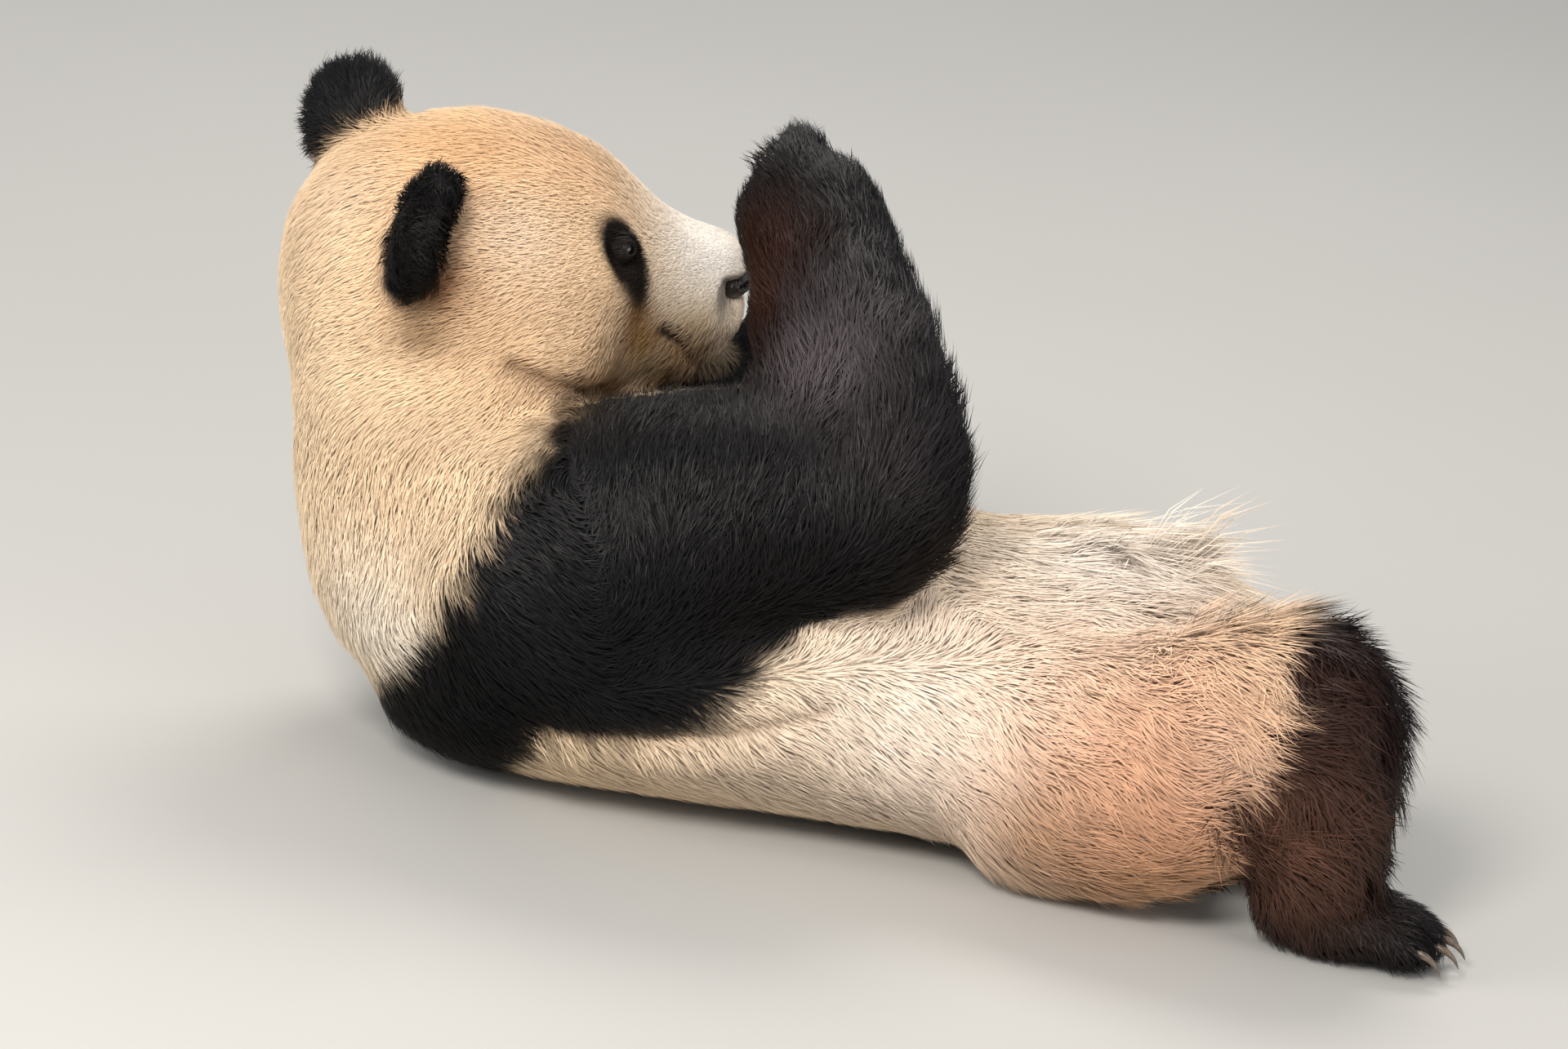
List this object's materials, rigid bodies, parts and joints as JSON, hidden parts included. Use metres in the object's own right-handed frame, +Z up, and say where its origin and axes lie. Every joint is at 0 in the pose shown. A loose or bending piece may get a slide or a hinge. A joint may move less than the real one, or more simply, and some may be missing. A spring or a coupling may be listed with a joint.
{
  "type": "giant panda model",
  "caption": "Life-size still model of a giant panda lying on its back, head raised and one forepaw lifted to its mouth.",
  "frame": {"origin": "on the floor under the middle of the pelvis, where the flat of the belly node rests", "axes": "+Z up, +X towards the feet, so the head points to -X and the animal's right side is at -Y"},
  "size_m": [1.0694, 0.5969, 0.5883],
  "materials": {
    "white_coat": "dense fur, dull and slightly sun-warmed",
    "black_coat": "dense fur with a low sheen",
    "nose_leather": "fine-grained, slightly moist",
    "horn": "satin keratin",
    "eye": "wet gloss"
  },
  "bodies": {
    "root": {"belly": "white_coat", "chest": "black_coat", "head": "white_coat", "left_ear": "black_coat", "left_eye": "eye", "left_forearm": "black_coat", "left_forepaw": "black_coat", "left_forepaw_claw_1": "horn", "left_forepaw_claw_2": "horn", "left_forepaw_claw_3": "horn", "left_forepaw_claw_4": "horn", "left_forepaw_claw_5": "horn", "left_hindpaw": "black_coat", "left_hindpaw_claw_1": "horn", "left_hindpaw_claw_2": "horn", "left_hindpaw_claw_3": "horn", "left_hindpaw_claw_4": "horn", "left_hindpaw_claw_5": "horn", "left_shank": "black_coat", "left_thigh": "white_coat", "left_upper_arm": "black_coat", "neck": "white_coat", "nose": "nose_leather", "right_ear": "black_coat", "right_eye": "eye", "right_forearm": "black_coat", "right_forepaw": "black_coat", "right_forepaw_claw_1": "horn", "right_forepaw_claw_2": "horn", "right_forepaw_claw_3": "horn", "right_forepaw_claw_4": "horn", "right_forepaw_claw_5": "horn", "right_hindpaw": "black_coat", "right_hindpaw_claw_1": "horn", "right_hindpaw_claw_2": "horn", "right_hindpaw_claw_3": "horn", "right_hindpaw_claw_4": "horn", "right_hindpaw_claw_5": "horn", "right_shank": "black_coat", "right_thigh": "white_coat", "right_upper_arm": "black_coat", "tail": "white_coat"}
  },
  "joints": []
}
